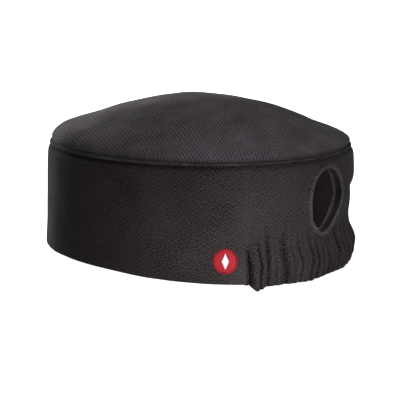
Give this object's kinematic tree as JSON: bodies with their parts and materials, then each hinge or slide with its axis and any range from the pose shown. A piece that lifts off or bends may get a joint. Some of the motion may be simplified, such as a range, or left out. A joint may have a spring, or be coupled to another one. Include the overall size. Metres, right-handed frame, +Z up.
{
  "type": "chef skull cap",
  "caption": "Soft cloth pillbox cap: domed oval crown, welted seam, side band, gathered elastic casing across the back with a bound ponytail opening above it, and a round red patch with a diamond.",
  "frame": {"origin": "on the floor at the middle of the cap's oval plan", "axes": "+Z up to the crown, +Y towards the back of the head with the opening, +X to the wearer's left"},
  "size_m": [0.1626, 0.1948, 0.0944],
  "materials": {
    "crown_cloth": "matt charcoal twill",
    "welt_cloth": "matt charcoal twill",
    "band_cloth": "matt near-black twill",
    "binding_cloth": "matt near-black turned hem",
    "casing_cloth": "matt near-black gathered cloth",
    "patch_thread": "red embroidery thread, slight sheen"
  },
  "bodies": {
    "root": {"crown_panel": "crown_cloth", "crown_welt": "welt_cloth", "side_band": "band_cloth", "opening_binding": "binding_cloth", "elastic_casing": "casing_cloth", "round_patch": "patch_thread"}
  },
  "joints": []
}
